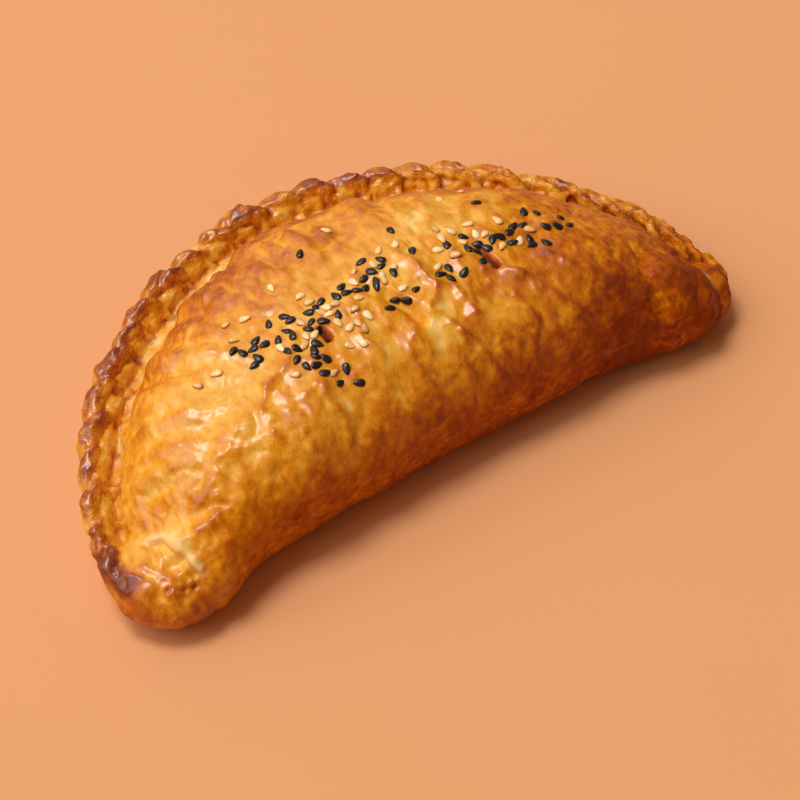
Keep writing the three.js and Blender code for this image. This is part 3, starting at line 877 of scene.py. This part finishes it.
def shadeAndBrownCrust(crust, skin):
    # every point's browning with its painted shade and light, flour and glaze, left on the mesh for the
    # material
    _, y, z = skin.points.T
    wide = proudOf(skin, 60)
    narrow = proudOf(skin, 8)
    # the lower front, whose colour also holds painted shade and bounce light
    front = smooth(39, 17, z) * smooth(24, 2, y)
    tail = smooth(0.12, 0.02, skin.along) * skin.onFold + skin.onFlange
    bake = mix(caseBrowningAndShade(skin, wide, narrow, front), ropeBrowningAndShade(skin, wide, tail), skin.inRope)
    bake += browningAndShading["lobe"] * skin.lobe * (1 + 1.1 * noiseAt(skin.points, "lobeMottle"))
    # painted shade in the crack beside the crimp and in the deep creases at the ends
    bake += browningAndShading["seam"] * skin.seam - browningAndShading["vein"] * (skin.vein + 0.15 * (skin.vein < 0))
    addSpots(bake, skin, browningAndShading["patches"])
    # painted shade in the slits and burst blisters goes on top
    bake = np.minimum(bake, browningAndShading["most"]) + skin.vent
    cream = creamShare(skin, tail)
    shine = glazing["base"] - glazing["front"] * front * (1 - 0.8 * skin.tip)
    shine = shine - glazing["rope"] * skin.inRope * (1 - skin.crest)
    lost = -glazing["cream"] * cream - glazing["right"] * skin.right - glazing["vent"] * skin.vent
    shine += lost - glazing["pit"] * skin.pit - glazing["flank"] * skin.flank
    caps = skin.inRope * (0.3 + 0.7 * skin.crest)
    shares = {
        "bake": bake, "cream": cream, "shine": shine, "crackle": np.maximum(caps, 0.8 * skin.lobe),
        "rear": skin.rear, "run": skin.run / line["length"], "inward": -skin.outward / 100,
    }
    for name, values in shares.items():
        setShare(crust.data, name, values)


shadeAndBrownCrust(crust, skin)
print("browning done")


seed = {
    "length": 3.3, "width": 2.0, "thickness": 1.0, "bedded": 0.3, "apart": 2.1, "segments": 14, "rings": 9,
    "pointed": 0.75, "flattened": 0.25,     # how much narrower and thinner it is towards its tip
}
drifts = [  # x, y, spread, and how many are black and white
    (-49.5, 33.8, 0.9, 1, 1), (-40, 32, 13, 1, 4), (-39.5, 33.5, 2.8, 5, 2), (-30, 21, 2.4, 5, 1),
    (-29, 32, 3.2, 8, 3), (-23.5, 26.5, 2.4, 6, 2), (-23, 16, 3.4, 4, 2), (-16, 33, 2.4, 4, 5),
    (-12.5, 21, 4.5, 3, 4), (-6, 33.5, 2.3, 7, 2), (-6, 50, 8, 1, 4), (2.6, 35, 2.8, 6, 4),
    (4, 26, 4, 5, 1), (13, 42, 3.5, 2, 2), (19, 24, 2.2, 4, 1), (24, 34, 3.2, 0, 4),
    (30, 30, 4.2, 8, 5), (40, 40, 5.5, 1, 3), (42, 25, 3.2, 7, 3), (51, 22, 5, 4, 3),
]


def seedPlaces(ground):
    # the same draws as the solid's seeds: where each lies, how it is turned, and its kind
    random = seededRandom(7)
    placed = []
    seeds = []
    for middleX, middleY, spread, black, white in drifts:
        for k in range(black + white):
            for _ in range(40):
                reach = spread * math.sqrt(-2 * math.log(1 - 0.9 * random()))
                way = 2 * math.pi * random()
                x = middleX + reach * math.cos(way)
                y = middleY + reach * math.sin(way)
                heading = math.pi * random()
                if any(math.hypot(otherX - x, otherY - y) < seed["apart"] for otherX, otherY in placed):
                    continue
                placed.append((x, y))
                met, normal, _, _ = ground.ray_cast(Vector((x, y, 90)), Vector((0, 0, -1)))
                kind = "black" if (k * 7 + 3) % (black + white) < black else "white"
                seeds.append((met, normal, heading, kind))
                break
    return seeds


def seedDrop():
    # a teardrop that points along y, and how near each of its points lies to the rim
    bpy.ops.mesh.primitive_uv_sphere_add(segments=seed["segments"], ring_count=seed["rings"], radius=0.5)
    model = bpy.context.object
    drop = readPoints(model.data)
    drop = np.stack([drop[:, 0], drop[:, 2], -drop[:, 1]], 1)
    rim = smooth(0.30, 0.5, np.hypot(drop[:, 0], drop[:, 1]))
    drop[:, 0] *= 1 - seed["pointed"] * drop[:, 1]
    drop[:, 2] *= 1 - seed["flattened"] * drop[:, 1]
    return model, drop, rim


def makeSeeds(kind, seeds, start):
    # one teardrop, copied to every place and joined
    random = seededRandom(start)
    model, drop, rim = seedDrop()
    copies = []
    for met, normal, heading, own in seeds:
        if own != kind:
            continue
        copy = model.copy()
        copy.data = model.data.copy()
        bpy.context.scene.collection.objects.link(copy)
        size = 0.9 + 0.22 * random()
        body = drop * (seed["width"] * size, seed["length"] * size, seed["thickness"])
        flip = math.pi * round(random())
        lean = normal.to_track_quat("Z", "Y").to_matrix() @ Matrix.Rotation(heading + flip, 3, "Z")
        middle = met + normal * seed["thickness"] * (0.5 - seed["bedded"])
        body = body @ np.array(lean).T + np.array(middle)
        writePoints(copy.data, toPart(body))
        setShare(copy.data, "tone", np.full(len(body), random()))
        setShare(copy.data, "rim", rim)
        copies.append(copy)
    bpy.data.objects.remove(model)
    piece = joined(copies, kind + "Sesame")
    bpy.ops.object.shade_smooth()
    bpy.ops.object.select_all(action="DESELECT")
    return piece


surface = [Vector(p) for p in readPoints(crust.data)]
ground = BVHTree.FromPolygons(surface, [tuple(f.vertices) for f in crust.data.polygons])
seeds = seedPlaces(ground)
blackSesame = makeSeeds("black", seeds, 41)
whiteSesame = makeSeeds("white", seeds, 43)
print("seeds:", len(seeds))


def flattenBase(crust):
    # the flat underside becomes a few large faces
    bpy.ops.object.select_all(action="DESELECT")
    bpy.context.view_layer.objects.active = crust
    crust.select_set(True)
    mesh = crust.data
    flat = readPoints(mesh)[:, 2] < 0.02
    mesh.polygons.foreach_set("select", np.array([all(flat[v] for v in f.vertices) for f in mesh.polygons]))
    bpy.ops.object.mode_set(mode="EDIT")
    bpy.ops.mesh.select_mode(type="FACE")
    bpy.ops.mesh.dissolve_limited(angle_limit=math.radians(1))
    bpy.ops.object.mode_set(mode="OBJECT")
    bpy.ops.object.select_all(action="DESELECT")


flattenBase(crust)
writePoints(crust.data, toPart(readPoints(crust.data)))
crust.data.polygons.foreach_set("use_smooth", np.ones(len(crust.data.polygons), bool))
crust.data.update()
print("crust triangles:", sum(len(f.vertices) - 2 for f in crust.data.polygons))


class Value:
    # a number socket that can be worked with like a number
    def __init__(self, nodes, socket):
        self.nodes = nodes
        self.socket = socket

    def math(self, operation, *others):
        return self.nodes.add("ShaderNodeMath", {"operation": operation}, dict(enumerate((self, *others))))

    def __add__(self, other):
        return self.math("ADD", other)

    def __sub__(self, other):
        return self.math("SUBTRACT", other)

    def __rsub__(self, other):
        return (self * -1) + other

    def __mul__(self, other):
        return self.math("MULTIPLY", other)

    def __abs__(self):
        return self.math("ABSOLUTE")

    __radd__ = __add__
    __rmul__ = __mul__


class Nodes:
    # the nodes of one material
    def __init__(self, name):
        self.material = bpy.data.materials.new(name)
        self.material.use_nodes = True
        self.tree = self.material.node_tree
        self.shader = self.tree.nodes["Principled BSDF"]

    def add(self, kind, settings=None, sockets=None, output=0):
        node = self.tree.nodes.new(kind)
        for key, value in (settings or {}).items():
            if key == "stops":
                self.setStops(node.color_ramp, value)
            else:
                setattr(node, key, value)
        self.feed(node, sockets or {})
        return Value(self, node.outputs[output])

    def share(self, name):
        return self.add("ShaderNodeAttribute", {"attribute_name": name}, output=2)

    def noise(self, place, scale, detail=2.0, distortion=0.0):
        sockets = {"Vector": place, "Scale": scale, "Detail": detail, "Distortion": distortion}
        return self.add("ShaderNodeTexNoise", sockets=sockets)

    def blend(self, share, first, second):
        return self.add("ShaderNodeMix", {"data_type": "RGBA"}, {0: share, 6: first, 7: second}, output=2)

    def setStops(self, ramp, stops):
        while len(ramp.elements) < len(stops):
            ramp.elements.new(0.5)
        for element, (place, colour) in zip(ramp.elements, stops):
            element.position = place
            element.color = (*colour, 1)

    def feed(self, node, sockets):
        for key, value in sockets.items():
            socket = node.inputs[key]
            if isinstance(value, Value):
                self.tree.links.new(value.socket, socket)
            else:
                socket.default_value = value

    def surface(self, sockets):
        self.feed(self.shader, sockets)
        return self.material


finish = {
    "stops": [  # from pale dough to nearly burnt
        (0.00, (0.86, 0.60, 0.20)), (0.16, (0.83, 0.46, 0.06)),
        (0.33, (0.76, 0.305, 0.007)), (0.48, (0.59, 0.170, 0.001)),
        (0.63, (0.41, 0.080, 0.001)), (0.78, (0.25, 0.040, 0.005)),
        (0.91, (0.15, 0.030, 0.014)), (1.00, (0.09, 0.023, 0.013)),
    ],
    "cream": (0.96, 0.72, 0.32),
    "bumpDepth": 0.0006,
    "tone": {"grain": 0.18, "fleck": 0.20, "hair": 0.2, "wrinkle": 0.35},
    "height": {"grain": 0.25, "fleck": 0.5, "hair": 1.6, "wrinkle": 3.4},
    "roughness": 0.48,
    "crust": {
        "Coat Roughness": 0.27, "Coat IOR": 1.65, "Specular IOR Level": 0.1,
        "Subsurface Weight": 0.10, "Subsurface Radius": (1.0, 0.4, 0.15), "Subsurface Scale": 0.002,
    },
    "blackSeed": [(0.007, 0.006, 0.007, 1), (0.026, 0.020, 0.018, 1)],
    "whiteSeed": [(0.0, (0.96, 0.80, 0.50)), (0.4, (0.90, 0.58, 0.22)), (1.0, (0.50, 0.18, 0.03))],
}


def makeCrustMaterial():
    n = Nodes("baked_crust")
    place = n.add("ShaderNodeTexCoord", output=3)
    bake, cream, shine, crackle = [n.share(name) for name in ("bake", "cream", "shine", "crackle")]
    grain = n.noise(place, 1400.0, 3.0)
    fleck = n.noise(place, 420.0, 4.0, 0.6)
    longWay = n.add("ShaderNodeVectorMath", {"operation": "MULTIPLY"}, {0: place, 1: (1.0, 0.33, 0.6)})
    rear = n.share("rear")
    along = n.share("run") * (line["length"] * 0.0002)      # streaks five times as long as they are wide
    flow = n.add("ShaderNodeCombineXYZ", sockets={0: along, 1: n.share("inward") * 0.1})
    hair = n.noise(longWay, 900.0, 3.0, 0.5)
    hair = hair + (n.noise(flow, 800.0, 3.0, 0.5) - hair) * rear
    wrinkle = abs(n.noise(place, 620.0, 3.0, 0.8) - 0.5) * 2
    part = finish["tone"]
    tone = bake + (grain - 0.5) * part["grain"] + (fleck - 0.5) * part["fleck"] + (hair - 0.5) * part["hair"]
    # darker in the crackle's fine creases: partly the crust's own colour, partly painted shade
    tone = tone + (0.3 - wrinkle) * crackle * part["wrinkle"]
    colour = n.add("ShaderNodeValToRGB", {"stops": finish["stops"]}, {0: tone})
    colour = n.blend(cream, colour, (*finish["cream"], 1))
    rough = finish["roughness"] + (fleck - 0.5) * 0.30 + cream * 0.15
    glaze = shine + (fleck - 0.5) * 0.5
    silk = n.noise(place, 45.0, 2.0)
    part = finish["height"]
    height = grain * part["grain"] + fleck * part["fleck"] + hair * shine * silk * part["hair"]
    height = height + wrinkle * crackle * part["wrinkle"]
    bump = {"Strength": 0.6, "Distance": finish["bumpDepth"], "Height": height}
    normal = n.add("ShaderNodeBump", sockets=bump)
    return n.surface({
        "Base Color": colour, "Roughness": rough, "Coat Weight": glaze, "Normal": normal, **finish["crust"],
    })


def seedGrain(n, scale, depth):
    # fine grain, and the bumps it makes
    place = n.add("ShaderNodeTexCoord", output=3)
    grain = n.noise(place, scale)
    normal = n.add("ShaderNodeBump", sockets={"Strength": depth, "Distance": 0.0001, "Height": grain})
    return grain, normal


def makeBlackMaterial():
    n = Nodes("black_sesame_skin")
    grain, normal = seedGrain(n, 2500.0, 0.5)
    colour = n.blend(n.share("tone") * 0.6 + (grain - 0.5) * 0.5, *finish["blackSeed"])
    return n.surface({
        "Base Color": colour, "Roughness": 0.35 + (grain - 0.5) * 0.3, "Normal": normal, "Coat Weight": 0.3,
        "Specular IOR Level": 0.3,
    })


def makeWhiteMaterial():
    n = Nodes("white_sesame_skin")
    grain, normal = seedGrain(n, 1800.0, 0.4)
    tone = n.share("tone") * 0.55 + n.share("rim") * 0.45 + (grain - 0.5) * 0.4
    colour = n.add("ShaderNodeValToRGB", {"stops": finish["whiteSeed"]}, {0: tone})
    rough = 0.4 + (grain - 0.5) * 0.3
    return n.surface({"Base Color": colour, "Roughness": rough, "Normal": normal, "Coat Weight": 0.3})


def makeFloorMaterial():
    n = Nodes("pale_board")
    place = n.add("ShaderNodeTexCoord", output=3)
    grain = n.noise(place, *studio["floorGrain"])
    dark = tuple(c * studio["floorMottle"] for c in studio["floorColour"])
    colour = n.blend(grain, (*dark, 1), (*studio["floorColour"], 1))
    rough = studio["floorRoughness"] + (grain - 0.5) * 0.05
    return n.surface({"Base Color": colour, "Roughness": rough, "Specular IOR Level": 0.2})


crust.data.materials.append(makeCrustMaterial())
blackSesame.data.materials.append(makeBlackMaterial())
whiteSesame.data.materials.append(makeWhiteMaterial())
print("materials done")

addCamera()
for name, box in studio["softboxes"].items():
    addSoftbox(name, box)
addWorld()
floor = addFloor()
floor.data.materials.append(makeFloorMaterial())

for piece, slot in ((crust, "crust"), (blackSesame, "black_sesame"), (whiteSesame, "white_sesame")):
    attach(piece, "root")
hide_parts("pasty")
